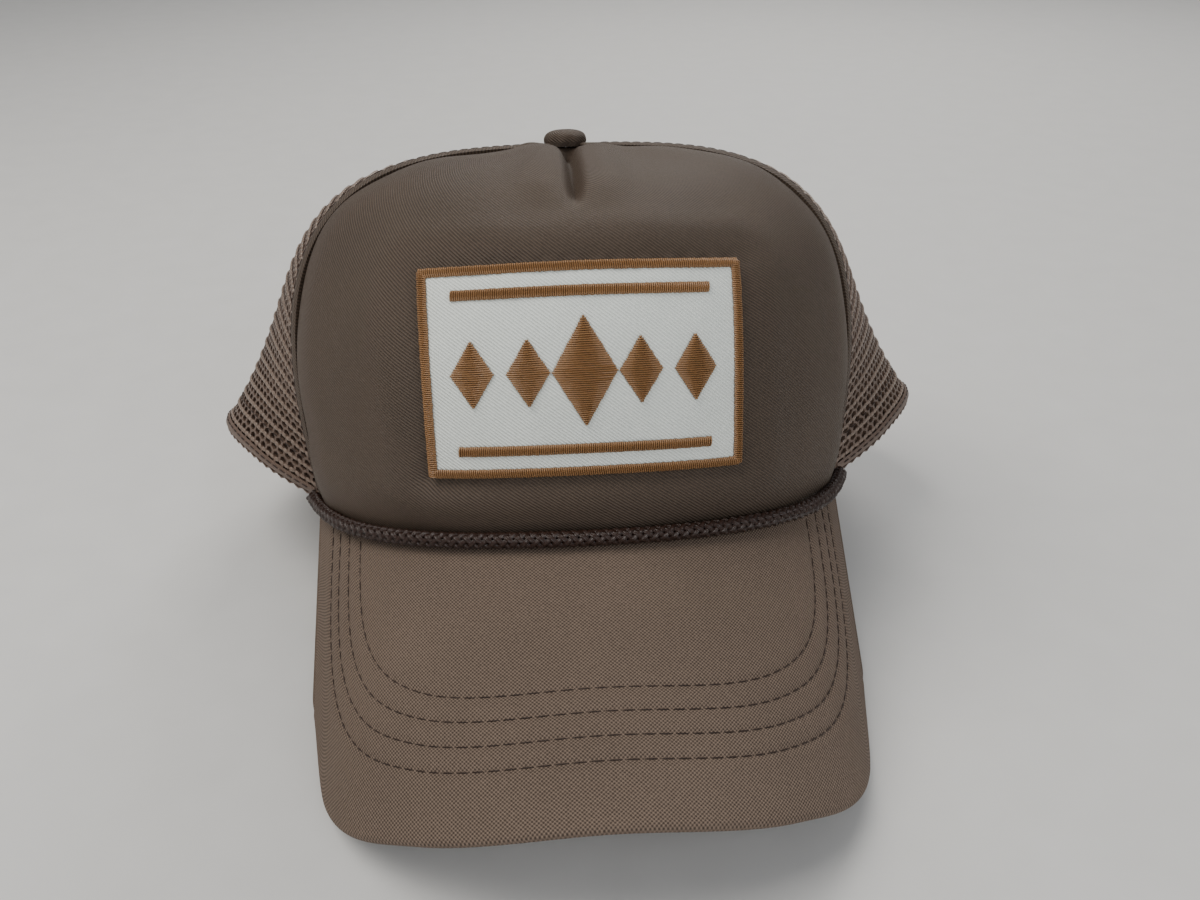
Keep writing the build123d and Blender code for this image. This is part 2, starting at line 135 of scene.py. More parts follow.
def rest(p):
    t = math.radians(crown["tilt"])
    x, y, z = crown["seat"]
    back = p.y * math.cos(t) + p.z * math.sin(t)
    level = p.z * math.cos(t) - p.y * math.sin(t)
    return Vector((p.x + x, back + y, level + z)) * mm


def wall(angle, length, depth):
    return rest(upright(angle, length, depth))


def wallLength(angle):
    return float(meridian(round(abs(angle), 2))[2][-1])


def reachAt(angle, length):
    profile = meridian(round(abs(angle), 2))
    return float(np.interp(length, profile[2], profile[0]))


def bump(x):
    return math.exp(-x * x)


def ease(x):
    x = min(max(x, 0.0), 1.0)
    return x * x * (3 - 2 * x)


# small modelling helpers
def clearSelection():
    if bpy.context.object and bpy.context.object.mode != "OBJECT":
        bpy.ops.object.mode_set(mode="OBJECT")
    bpy.ops.object.select_all(action="DESELECT")


def activate(obj):
    clearSelection()
    obj.select_set(True)
    bpy.context.view_layer.objects.active = obj


def modify(obj, kind, **settings):
    activate(obj)
    modifier = obj.modifiers.new(kind.lower(), kind)
    for key, value in settings.items():
        setattr(modifier, key, value)
    bpy.ops.object.modifier_apply(modifier=modifier.name)


def makeGrid(name, columns, rows, place, flat=None):
    clearSelection()
    bpy.ops.mesh.primitive_grid_add(x_subdivisions=columns, y_subdivisions=rows, size=1)
    obj = bpy.context.object
    obj.name = name
    shares = [(v.co.x + 0.5, v.co.y + 0.5) for v in obj.data.vertices]
    for vertex, (u, v) in zip(obj.data.vertices, shares):
        vertex.co = place(u, v)
    if flat:
        layer = obj.data.uv_layers.active.data
        for loop in obj.data.loops:
            layer[loop.index].uv = flat(*shares[loop.vertex_index])
    return obj


def finishPiece(obj, material, body="cap", replaces=(), smooth=40):
    activate(obj)
    bpy.ops.object.shade_smooth_by_angle(angle=math.radians(smooth))
    obj.data.materials.clear()
    obj.data.materials.append(material)
    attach(obj, body)
    if replaces:
        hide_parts(*replaces)
    return obj


def weld(obj, threshold):
    activate(obj)
    bpy.ops.object.mode_set(mode="EDIT")
    bpy.ops.mesh.select_all(action="SELECT")
    bpy.ops.mesh.remove_doubles(threshold=threshold)
    bpy.ops.mesh.select_all(action="SELECT")


def faceOutwards(obj):
    activate(obj)
    bpy.ops.object.mode_set(mode="EDIT")
    bpy.ops.mesh.select_all(action="SELECT")
    bpy.ops.mesh.normals_make_consistent(inside=False)
    bpy.ops.object.mode_set(mode="OBJECT")


def meshFromPoints(name, points, faces):
    mesh = bpy.data.meshes.new(name)
    mesh.from_pydata(points, [], faces)
    obj = bpy.data.objects.new(name, mesh)
    bpy.context.collection.objects.link(obj)
    faceOutwards(obj)
    return obj


# closed tube over rings of points, numbered ring by ring from base
def tubeFaces(base, rings, sides):
    faces = []
    for ring in range(rings - 1):
        for k in range(sides):
            n = (k + 1) % sides
            here, ahead = base + ring * sides, base + (ring + 1) * sides
            faces.append([here + k, here + n, ahead + n, ahead + k])
    faces.append([base + k for k in reversed(range(sides))])
    faces.append([base + (rings - 1) * sides + k for k in range(sides)])
    return faces


# even steps of a set length along a path of points
def evenSteps(points, ups, pitch):
    travelled = [0.0]
    for a, b in zip(points, points[1:]):
        travelled.append(travelled[-1] + (b - a).length)
    count = max(2, int(travelled[-1] / pitch))
    places, normals = [], []
    for step in range(count + 1):
        at = travelled[-1] * step / count
        i = max(k for k in range(len(travelled) - 1) if travelled[k] <= at + 1e-9)
        t = (at - travelled[i]) / max(travelled[i + 1] - travelled[i], 1e-9)
        places.append(points[i].lerp(points[i + 1], t))
        normals.append(ups[i].lerp(ups[i + 1], t))
    return places, normals


# beads of thread along a line; size is (share of the step, width, height)
def stitchRow(name, line, lineUps, pitch, size):
    places, ups = evenSteps(line, lineUps, pitch * mm)
    clearSelection()
    bpy.ops.mesh.primitive_uv_sphere_add(segments=6, ring_count=5, radius=0.5)
    bead = bpy.context.object
    beadPoints = [v.co.copy() for v in bead.data.vertices]
    beadFaces = [list(p.vertices) for p in bead.data.polygons]
    bpy.data.objects.remove(bead)
    points, faces = [], []
    for a, b, up in zip(places, places[1:], ups):
        along = b - a
        gap = along.length
        along.normalize()
        up = (up - up.dot(along) * along).normalized()
        side = along.cross(up)
        middle = (a + b) / 2
        base = len(points)
        for p in beadPoints:
            points.append(middle + along * p.z * gap * size[0] + side * p.x * size[1] + up * p.y * size[2])
        faces += [[base + k for k in face] for face in beadFaces]
    obj = meshFromPoints(name, points, faces)
    return finishPiece(obj, cloth["thread"], smooth=80)


def wallNormal(angle, length):
    level = wall(angle + 0.4, length, 0) - wall(angle - 0.4, length, 0)
    steep = wall(angle, length + 1, 0) - wall(angle, length - 1, 0)
    return level.cross(steep).normalized()


# materials
class Wire:
    def __init__(self, tree, socket):
        self.tree = tree
        self.socket = socket

    def math(self, operation, *others):
        values = dict(enumerate([self, *others]))
        return make(self.tree, "ShaderNodeMath", dict(operation=operation), values)

    def __add__(self, other): return self.math("ADD", other)
    def __radd__(self, other): return self.math("ADD", other)
    def __sub__(self, other): return self.math("SUBTRACT", other)
    def __rsub__(self, other): return constant(self.tree, other).math("SUBTRACT", self)
    def __mul__(self, other): return self.math("MULTIPLY", other)
    def __rmul__(self, other): return self.math("MULTIPLY", other)
    def sine(self): return self.math("SINE")


def constant(tree, value):
    node = tree.nodes.new("ShaderNodeValue")
    node.outputs[0].default_value = value
    return Wire(tree, node.outputs[0])


# one node: its settings first, then the values or links of its sockets
def make(tree, kind, settings, values, output=0):
    node = tree.nodes.new(kind)
    for key, setting in settings.items():
        setattr(node, key, setting)
    for key, given in values.items():
        if isinstance(given, Wire):
            tree.links.new(given.socket, node.inputs[key])
        else:
            node.inputs[key].default_value = given
    return Wire(tree, node.outputs[output])


def colourMix(tree, share, first, second):
    return make(tree, "ShaderNodeMix", dict(data_type="RGBA"), {0: share, 6: first, 7: second}, 2)


def noise(tree, place, scale, detail):
    return make(tree, "ShaderNodeTexNoise", {}, {"Vector": place, "Scale": scale, "Detail": detail})


# cloth: threads at real scale from the piece's flat metres, with soft unevenness
fibres = dict(fineScale=1400.0, broadScale=28.0, fineShare=0.5, bumpDistance=0.0003, sheenRoughness=0.4)


def clothMaterial(name, look):
    material = bpy.data.materials.new(name)
    material.use_nodes = True
    tree = material.node_tree
    tree.nodes.clear()
    out = tree.nodes.new("ShaderNodeOutputMaterial")
    shader = tree.nodes.new("ShaderNodeBsdfPrincipled")
    tree.links.new(shader.outputs[0], out.inputs[0])
    flat = make(tree, "ShaderNodeTexCoord", {}, {}, 2)
    place = make(tree, "ShaderNodeTexCoord", {}, {}, 3)
    x = make(tree, "ShaderNodeSeparateXYZ", {}, {0: flat}, 0)
    y = make(tree, "ShaderNodeSeparateXYZ", {}, {0: flat}, 1)
    wave = 2 * math.pi / (look["pitch"] * mm)
    if look["weave"] == "plain":
        threads = (x * wave).sine() * (y * wave).sine()
    elif look["weave"] == "twill":
        threads = ((x * 0.8 + y) * wave).sine() * 0.8 + ((x - y) * (wave * 2.3)).sine() * 0.2
    elif look["weave"] == "rib":
        threads = (x * wave).sine()
    else:
        threads = ((x + y) * wave).sine() * ((x - y) * (wave * 0.5)).sine()
    fine = noise(tree, place, fibres["fineScale"], 2.0)
    broad = noise(tree, place, fibres["broadScale"], 3.0)
    share = threads * look["contrast"] + (fine - 0.5) * fibres["fineShare"]
    share = share + (broad - 0.5) * look["uneven"] + 0.5
    colour = colourMix(tree, share, (*look["dark"], 1), (*look["light"], 1))
    tree.links.new(colour.socket, shader.inputs["Base Color"])
    rough = broad * 0.15 + (look["rough"] - 0.08)
    tree.links.new(rough.socket, shader.inputs["Roughness"])
    height = threads * 0.6 + fine * 0.5
    relief = {"Height": height, "Strength": look["bump"], "Distance": fibres["bumpDistance"]}
    normal = make(tree, "ShaderNodeBump", {}, relief)
    tree.links.new(normal.socket, shader.inputs["Normal"])
    shader.inputs["Sheen Weight"].default_value = look.get("sheen", 0.2)
    shader.inputs["Sheen Roughness"].default_value = fibres["sheenRoughness"]
    shader.inputs["Sheen Tint"].default_value = (*look["light"], 1)
    shader.inputs["Specular IOR Level"].default_value = look.get("gloss", 0.3)
    return material


clothLooks = dict(
    front=dict(weave="twill", pitch=0.95, dark=(0.030, 0.020, 0.014), light=(0.105, 0.073, 0.050), contrast=0.42,
               uneven=0.45, rough=0.6, bump=0.6, sheen=0.25, gloss=0.35),
    visor=dict(weave="plain", pitch=0.95, dark=(0.052, 0.037, 0.028), light=(0.225, 0.165, 0.125), contrast=0.62,
               uneven=0.3, rough=0.82, bump=0.7, sheen=0.2, gloss=0.2),
    lining=dict(weave="rib", pitch=1.4, dark=(0.05, 0.03, 0.022), light=(0.1, 0.062, 0.047), contrast=0.3,
                uneven=0.4, rough=0.85, bump=0.5),
    foam=dict(weave="knit", pitch=1.1, dark=(0.10, 0.065, 0.05), light=(0.17, 0.12, 0.095), contrast=0.3,
              uneven=0.4, rough=0.9, bump=0.5),
    net=dict(weave="rib", pitch=0.5, dark=(0.05, 0.030, 0.021), light=(0.19, 0.125, 0.09), contrast=0.3,
             uneven=0.35, rough=0.42, bump=0.3, sheen=0.1, gloss=0.6),
    # rib yarn: the net's yarn made lighter, a painted highlight on the raised ribs
    ribHighlightYarn=dict(weave="rib", pitch=0.6, dark=(0.07, 0.045, 0.033), light=(0.30, 0.215, 0.160), contrast=0.35,
              uneven=0.4, rough=0.36, bump=0.5, sheen=0.1, gloss=0.7),
    patch=dict(weave="twill", pitch=0.9, dark=(0.60, 0.63, 0.58), light=(0.88, 0.91, 0.85), contrast=0.42,
               uneven=0.2, rough=0.6, bump=0.5, gloss=0.35),
    satin=dict(weave="rib", pitch=0.45, dark=(0.070, 0.032, 0.014), light=(0.36, 0.190, 0.080), contrast=0.32,
               uneven=0.25, rough=0.36, bump=0.4, sheen=0.1, gloss=0.6),
    thread=dict(weave="rib", pitch=0.4, dark=(0.014, 0.008, 0.006), light=(0.045, 0.026, 0.019), contrast=0.3,
                uneven=0.2, rough=0.5, bump=0.3),
    rope=dict(weave="rib", pitch=0.35, dark=(0.006, 0.003, 0.002), light=(0.050, 0.022, 0.014), contrast=0.45,
              uneven=0.25, rough=0.33, bump=0.4, sheen=0.0, gloss=0.5),
)
cloth = {name: clothMaterial(name + "Cloth", look) for name, look in clothLooks.items()}


# moulded or painted surface with a fine grain
def plasticMaterial(name, dark, light, roughness, metallic=0.0):
    material = bpy.data.materials.new(name)
    material.use_nodes = True
    tree = material.node_tree
    shader = tree.nodes["Principled BSDF"]
    place = make(tree, "ShaderNodeTexCoord", {}, {}, 3)
    broad = noise(tree, place, 60.0, 3.0)
    grain = noise(tree, place, 2500.0, 2.0)
    tree.links.new(colourMix(tree, broad, (*dark, 1), (*light, 1)).socket, shader.inputs["Base Color"])
    tree.links.new((broad * 0.2 + (roughness - 0.1)).socket, shader.inputs["Roughness"])
    normal = make(tree, "ShaderNodeBump", {}, {"Height": grain, "Strength": 0.15, "Distance": 0.0001})
    tree.links.new(normal.socket, shader.inputs["Normal"])
    shader.inputs["Metallic"].default_value = metallic
    return material


strapPlastic = plasticMaterial("strapPlastic", (0.05, 0.028, 0.02), (0.075, 0.043, 0.032), 0.5)
boardPlastic = plasticMaterial("boardPlastic", (0.015, 0.015, 0.015), (0.03, 0.03, 0.03), 0.6)
rivetMetal = plasticMaterial("rivetMetal", (0.5, 0.5, 0.5), (0.65, 0.65, 0.65), 0.35, 1.0)
cadFinishes = {"hole_strap": strapPlastic, "stud_strap": strapPlastic, "hole_strap_anchor": strapPlastic,
               "stud_strap_anchor": strapPlastic, "button_rivet": rivetMetal, "visor_board": boardPlastic}
for nodeName, finish in cadFinishes.items():
    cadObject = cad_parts[nodeName]
    cadObject.data.materials.clear()
    cadObject.data.materials.append(finish)
print("materials made")

# rope: eight braided strands along its route
rope = dict(radius=2.1, strandRadius=0.6, orbit=1.42, turn=10.4, wave=0.3, strands=8, step=0.8, sides=7,
            wide=1.15, flat=0.9)
ropePoints = [
    (-0.0767, 0.0053, 0.0411),
    (-0.0724, -0.0071, 0.0444),
    (-0.0606, -0.0253, 0.0502),
    (-0.0403, -0.0395, 0.0558),
    (-0.0142, -0.0466, 0.0593),
    (0.0142, -0.0466, 0.0592),
    (0.0403, -0.0395, 0.0559),
    (0.0606, -0.0253, 0.0502),
    (0.0724, -0.0071, 0.0443),
    (0.0767, 0.0053, 0.0411),
]


def ropeLine():
    data = bpy.data.curves.new("ropeLine", "CURVE")
    data.dimensions = "3D"
    spline = data.splines.new("NURBS")
    spline.points.add(len(ropePoints) - 1)
    for point, place in zip(spline.points, ropePoints):
        point.co = (*place, 1)
    spline.order_u = 3
    spline.use_endpoint_u = True
    spline.resolution_u = 24
    obj = bpy.data.objects.new("ropeLine", data)
    bpy.context.collection.objects.link(obj)
    mesh = bpy.data.meshes.new_from_object(obj)
    line = [v.co.copy() for v in mesh.vertices]
    bpy.data.objects.remove(obj)
    return line


def makeRope():
    route = ropeLine()
    line, ups = evenSteps(route, [Vector((0, 0, 1))] * len(route), rope["step"] * mm)
    count, sides = len(line), rope["sides"]
    points, faces = [], []
    for strand in range(rope["strands"]):
        way = 1 if strand % 2 else -1
        offset = 2 * math.pi * (strand // 2) / (rope["strands"] / 2)
        centres = []
        for i, here in enumerate(line):
            along = (line[min(i + 1, count - 1)] - line[max(i - 1, 0)]).normalized()
            side = along.cross(Vector((0, 0, 1))).normalized()
            up = side.cross(along)
            turn = way * 2 * math.pi * i * rope["step"] / rope["turn"] + offset
            weave = math.cos(rope["strands"] / 2 * 2 * math.pi * i * rope["step"] / rope["turn"])
            orbit = (rope["orbit"] + way * rope["wave"] * weave) * mm
            centres.append(here + (side * math.cos(turn) + up * math.sin(turn)) * orbit)
        base = len(points)
        for i, here in enumerate(centres):
            along = (centres[min(i + 1, count - 1)] - centres[max(i - 1, 0)]).normalized()
            out = (here - line[i]).normalized()
            side = along.cross(out).normalized()
            for k in range(sides):
                a = 2 * math.pi * k / sides
                r = rope["strandRadius"] * mm
                sideways = side * math.cos(a) * r * rope["wide"]
                points.append(here + sideways + out * math.sin(a) * r * rope["flat"])
        faces += tubeFaces(base, count, sides)
    obj = meshFromPoints("ropeBraid", points, faces)
    layer = obj.data.uv_layers.new(name="flat").data
    for loop in obj.data.loops:
        index = loop.vertex_index % (count * sides)
        around, along = index % sides, index // sides
        layer[loop.index].uv = (around * rope["strandRadius"] * mm, along * rope["step"] * mm)
    finishPiece(obj, cloth["rope"], replaces=["rope"], smooth=80)
    length = sum((b - a).length for a, b in zip(line, line[1:]))


makeRope()
print("rope braided")

# front panel: cloth over foam, pulled in at the seams, the patch and the dart
front = dict(cloth=0.8, foamDepth=0.9, foam=4.0, seamDip=0.6, puff=1.1, patchDip=0.8, dartLength=63.0,
             dartDip=4.0, dartRoll=1.4, hemRoll=0.9, hemPinch=0.7, patchRoll=0.8, ripple=0.25, slowRipple=0.2,
             flat=(0.2, 0.165))
patch = dict(width=75.5, height=50.0, rise=43.5, thick=0.9)


# the angle that lies this far across the front at this length up the wall
def acrossAngle(across, length):
    angle = 20.0
    for step in range(5):
        angle = math.degrees(math.asin(min(max(abs(across) / max(reachAt(angle, length), 1.0), 0.0), 0.999)))
    return math.copysign(angle, across)


# how far the padded front stands off the plain wall: seams, hem, patch and dart
def frontRelief(angle, length):
    top = wallLength(angle)
    fromSeam = (crown["seam"] - abs(angle)) * math.pi / 180 * reachAt(angle, length)
    across = reachAt(angle, length) * math.sin(math.radians(angle))
    outX = abs(across) - patch["width"] / 2
    outY = abs(length - patch["rise"]) - patch["height"] / 2
    away = math.hypot(max(outX, 0), max(outY, 0)) if outX > 0 or outY > 0 else max(outX, outY)
    fromTop = top - length
    dart = ease((front["dartLength"] - fromTop) / 12)
    lift = -front["seamDip"] * bump((fromSeam - 5.6) / 1.1) * ease(fromTop / 12)
    lift += front["puff"] * bump((fromSeam - 17) / 10) * ease(fromTop / 40)
    lift += front["hemRoll"] * bump((length - 13) / 7) - front["hemPinch"] * bump(length / 3.0)
    lift += front["patchRoll"] * bump((away - 9) / 5)
    lift += front["ripple"] * math.sin(across * 0.17 + length * 0.07)
    lift += front["slowRipple"] * math.sin(across * 0.08 - length * 0.16 + 1.3)
    lift *= ease((away + 1) / 7)
    pucker = 0.7 + 0.3 * math.sin(across * 1.1) * math.sin(length * 1.2)
    lift -= front["patchDip"] * pucker * bump((away - 0.6) / 2.4)
    lift -= front["dartDip"] * bump(across / 1.7) * dart * ease(fromTop / 3)
    lift += front["dartRoll"] * bump((abs(across) - 8) / 6) * dart * ease(fromTop / 8)
    return lift


def frontPlace(depth):
    def place(u, v):
        angle = crown["seam"] * (2 * u - 1)
        length = v * wallLength(angle)
        return wall(angle, length, depth - frontRelief(angle, length))
    return place


def frontFlat(u, v):
    return ((u - 0.5) * front["flat"][0], v * front["flat"][1])


frontCloth = makeGrid("frontCloth", 220, 170, frontPlace(0.0), frontFlat)
modify(frontCloth, "SOLIDIFY", thickness=front["cloth"] * mm, offset=-1)
finishPiece(frontCloth, cloth["front"], replaces=["front_panel_cover"], smooth=70)
foamPad = makeGrid("foamPad", 90, 70, frontPlace(front["foamDepth"]), frontFlat)
modify(foamPad, "SOLIDIFY", thickness=front["foam"] * mm, offset=-1)
finishPiece(foamPad, cloth["foam"], replaces=["front_panel_foam"], smooth=70)
print("front panel made")

# folded edge band down each side of the front panel
band = dict(width=5.2, thick=0.9, start=1.5, topGap=3.0, lift=0.35, roll=0.75, flat=(0.0055, 0.15),
            stitchIn=1.4, stitchLift=1.05, stitchPitch=3.0, stitch=(0.8, 0.00045, 0.00035))


def bandPlace(side, across, length, depth):
    angle = crown["seam"] - math.degrees(across / max(reachAt(crown["seam"], length), 8.0))
    return wall(side * angle, length, depth)


for sideName, side in bothSides:
    top = wallLength(crown["seam"]) - band["topGap"]

    def place(u, v, side=side, top=top):
        across = band["width"] * (u if side < 0 else 1 - u)
        rounded = math.sin(math.pi * min(max(across / band["width"], 0.02), 0.98)) ** 0.6
        length = band["start"] + v * (top - band["start"])
        return bandPlace(side, across, length, -band["lift"] - band["roll"] * rounded)

    bandObject = makeGrid("edgeBand_" + sideName, 8, 150, place,
                          lambda u, v: (u * band["flat"][0], v * band["flat"][1]))
    modify(bandObject, "SOLIDIFY", thickness=band["thick"] * mm, offset=-1)
    finishPiece(bandObject, cloth["front"], replaces=["front_edge_band_" + sideName], smooth=60)
    lengths = np.linspace(4, top - 4, 90)
    line = [bandPlace(side, band["stitchIn"], length, -band["stitchLift"]) for length in lengths]
    ups = [wallNormal(side * (crown["seam"] - 1), length) for length in lengths]
    stitchRow("bandStitches_" + sideName, line, ups, band["stitchPitch"], band["stitch"])
print("edge bands made")

# opening at the back
opening = dict(halfWidth=46.0, low=25.5, sideHeight=6.0, height=50.0, legs=8.0, thick=0.6, cornerReach=98.5,
               cut=3.0, stitchIn=6.6, stitchLift=0.95, stitchPitch=3.0, stitch=(0.8, 0.0005, 0.0004))


# the nets are cut away where the binding's fold covers their edge
def inArch(across, level):
    half = opening["halfWidth"] + opening["cut"]
    shoulder = opening["low"] + opening["sideHeight"]
    rise = (level - shoulder) / (opening["height"] - opening["sideHeight"] + opening["cut"])
    return abs(across) < half and (level < shoulder or (across / half) ** 2 + rise ** 2 < 1)


# mesh panels: an open net of six-sided holes, cut along its seams
net = dict(pitch=2.9, row=2.3, inset=0.00040, thick=0.9, depth=0.5, widestReach=104, spareWidth=14,
           spareAngle=4, ribPitch=4.6, ribStep=1.9, ribFill=0.94, ribHemGap=7, ribWobble=0.12)


def makeNet(name, first, last, arch):
    centre = (first + last) / 2
    longest = max(wallLength(abs(first)), wallLength(abs(centre)), wallLength(abs(last)))
    widest = abs(math.radians(last - first)) * net["widestReach"] + net["spareWidth"]
    clearSelection()
    bpy.ops.mesh.primitive_circle_add(vertices=6, radius=net["pitch"] * mm / math.sqrt(3), fill_type="NGON")
    obj = bpy.context.object
    obj.name = name
    stretch = net["row"] / (net["pitch"] * math.sqrt(3) / 2)
    across = int(widest / net["pitch"]) + 2
    rows = int(longest / (2 * net["row"])) + 1
    for count, sideways, upwards in ((2, 0.5, math.sqrt(3) / 2), (across, 1.0, 0.0), (rows, 0.0, math.sqrt(3))):
        modify(obj, "ARRAY", count=count, use_relative_offset=False, use_constant_offset=True,
               constant_offset_displace=(net["pitch"] * sideways * mm, net["pitch"] * upwards * mm, 0))
    weld(obj, 0.00005)
    bpy.ops.mesh.inset(thickness=net["inset"], use_individual=True)
    bpy.ops.mesh.delete(type="FACE")
    bpy.ops.object.mode_set(mode="OBJECT")
    width = across * net["pitch"] * mm
    for vertex in obj.data.vertices:
        sideways = (vertex.co.x - width / 2) / mm
        length = vertex.co.y * stretch / mm
        reach = max(reachAt(centre, min(length, longest)), 3.0)
        angle = centre + math.degrees(sideways / reach)
        angle = min(max(angle, first - net["spareAngle"]), last + net["spareAngle"])
        vertex.co = wall(angle, min(length, wallLength(angle)), net["depth"])
    activate(obj)
    bpy.ops.object.mode_set(mode="EDIT")
    for edgeAngle, outward in ((first, -1), (last, 1)):
        turn = math.radians(edgeAngle)
        axisPoint = rest(Vector((0, crown["axisY"], 60)))
        ahead = rest(Vector((math.sin(turn), crown["axisY"] - math.cos(turn), 60)))
        skyward = rest(Vector((0, crown["axisY"], 61))) - axisPoint
        facing = skyward.cross(ahead - axisPoint).normalized() * outward
        bpy.ops.mesh.select_all(action="SELECT")
        bpy.ops.mesh.bisect(plane_co=axisPoint, plane_no=facing, clear_outer=True)
    bpy.ops.object.mode_set(mode="OBJECT")
    if arch:
        cutArch(obj)
    return obj


# the arch's edge runs through the middle of the binding
def cutArch(obj):
    t = math.radians(crown["tilt"])
    x, y, z = crown["seat"]

    def inside(p):
        back, up = p.y / mm - y, p.z / mm - z
        return inArch(p.x / mm, back * math.sin(t) + up * math.cos(t))

    activate(obj)
    bpy.ops.object.mode_set(mode="EDIT")
    bpy.ops.mesh.select_mode(type="FACE")
    bpy.ops.mesh.select_all(action="DESELECT")
    bpy.ops.object.mode_set(mode="OBJECT")
    for face in obj.data.polygons:
        face.select = inside(face.center)
    bpy.ops.object.mode_set(mode="EDIT")
    bpy.ops.mesh.delete(type="FACE")
    bpy.ops.object.mode_set(mode="OBJECT")


for sideName, side in bothSides:
    for kind, low, high in (("side", crown["seam"], crown["side"]), ("back", crown["side"], 180.0)):
        first, last = sorted((side * low, side * high))
        netObject = makeNet(kind + "Net_" + sideName, first, last, kind == "back")
        modify(netObject, "SOLIDIFY", thickness=net["thick"] * mm, offset=0)
        finishPiece(netObject, cloth["net"], replaces=[kind + "_mesh_" + sideName], smooth=60)


# the raised ribs knitted across each panel; their yarn is coloured lighter than the net's as a painted highlight
def netRibs(name, first, last, arch):
    sections = ((-1, 0.28, 0.12), (-0.45, 0.62, 0.42), (0.45, 0.62, 0.42), (1, 0.28, 0.12))
    outline = ((1, 0.0), (0.6, 0.8), (-0.6, 0.8), (-1, 0.0), (0, -0.4))
    tallest = max(wallLength(first), wallLength(last)) - 8
    points, faces = [], []
    for length in np.arange(net["ribPitch"] * 0.75, tallest, net["ribPitch"]):
        girth = math.radians(abs(last - first)) * reachAt((first + last) / 2, length)
        count = max(int(girth / net["ribStep"]), 2)
        for i in range(count):
            angle = first + (last - first) * (i + 0.5) / count
            turn = 0.5 * (last - first) / count * net["ribFill"]
            middle = upright(angle, length, 0.0)
            if length > wallLength(angle) - net["ribHemGap"] or (arch and inArch(middle.x, middle.z)):
                continue
            faces += tubeFaces(len(points), len(sections), len(outline))
            wobble = net["ribWobble"] * math.sin(i * 2.4)
            for share, wide, high in sections:
                for sideStep, lift in outline:
                    spot = length + wide * sideStep + wobble * share
                    points.append(wall(angle + turn * share, spot, -high * lift))
    return finishPiece(meshFromPoints(name, points, faces), cloth["ribHighlightYarn"], smooth=80)


for sideName, side in bothSides:
    netRibs("sideRibs_" + sideName, *sorted((side * (crown["seam"] + 0.7), side * crown["side"])), False)
    netRibs("backRibs_" + sideName, *sorted((side * crown["side"], side * 179.9)), True)
print("nets made")

# hem, tapes and sweatband inside the crown
lining = dict(hemStart=74.5, hemEnd=146.2, hemThick=0.5, bandStart=1.0, bandHeight=32.0, bandEnd=142.6,
              bandThick=1.5, tapeThick=0.6, tapeStart=34.0, centreTapeStart=60.0, tapeTopGap=4.0, bandPitch=3.2,
              pitch=3.0, bandStitch=(0.75, 0.0005, 0.0004), hemStitch=(0.8, 0.0005, 0.0004),
              tapeStitch=(0.75, 0.00045, 0.00035))

# the hem's folded section: length up from the hem's edge, depth in from the wall
hemFold = [(12.0, 2.1), (8.0, 2.1), (4.0, 2.1), (1.0, 2.1), (-0.1, 1.9), (-0.6, 1.2), (-0.6, 0.4), (-0.1, -0.4),
           (0.8, -0.6), (1.9, -0.6), (2.4, -0.3)]


def bandDepth(angle):
    return blendKeys([(0, 5.3), (73.5, 5.3), (87.5, 3.2), (180, 3.2)], abs(angle))


def sweatPlace(u, v):
    angle = lining["bandEnd"] * (2 * u - 1)
    length = lining["bandStart"] + v * (lining["bandHeight"] - lining["bandStart"])
    pad = 0.5 * math.sin(math.pi * v) ** 0.5 + 0.12 * math.sin(angle * 2.1) * math.sin(math.pi * v)
    return wall(angle, length, bandDepth(angle) + 0.3 - 0.3 * pad)


sweatband = makeGrid("sweatbandStrip", 300, 16, sweatPlace, lambda u, v: (u * 0.53, v * 0.031))
modify(sweatband, "SOLIDIFY", thickness=lining["bandThick"] * mm, offset=-1)
modify(sweatband, "BEVEL", width=0.0004, segments=2, angle_limit=math.radians(50))
finishPiece(sweatband, cloth["lining"], replaces=["sweatband"], smooth=60)
for row, length in enumerate((3.5, 29.5)):
    angles = np.linspace(-lining["bandEnd"] + 1, lining["bandEnd"] - 1, 200)
    line = [wall(a, length, bandDepth(a) + 1.75) for a in angles]
    ups = [-wallNormal(a, length) for a in angles]
    stitchRow("sweatbandStitches_" + str(row), line, ups, lining["bandPitch"], lining["bandStitch"])

for sideName, side in bothSides:
    first, last = sorted((side * lining["hemStart"], side * lining["hemEnd"]))

    def place(u, v, first=first, last=last):
        angle = first + (last - first) * u
        length, depth = hemFold[round(v * (len(hemFold) - 1))]
        return wall(angle, max(length, 0.0), depth) + (wall(angle, 0, 0) - wall(angle, 1, 0)) * max(-length, 0)

    hem = makeGrid("meshHem_" + sideName, 150, len(hemFold) - 1, place, lambda u, v: (u * 0.14, v * 0.017))
    modify(hem, "SOLIDIFY", thickness=lining["hemThick"] * mm, offset=-1)
    finishPiece(hem, cloth["net"], replaces=["mesh_hem_" + sideName], smooth=60)
    for row, (length, depth) in enumerate(((10.5, -0.15), (1.4, -0.75))):
        angles = np.linspace(side * (lining["hemStart"] + 1), side * (lining["hemEnd"] - 1), 120)
        line = [wall(a, length, depth) for a in angles]
        ups = [wallNormal(a, length) for a in angles]
        stitchRow("hemStitches_" + sideName + str(row), line, ups, lining["pitch"],
                  lining["hemStitch"])


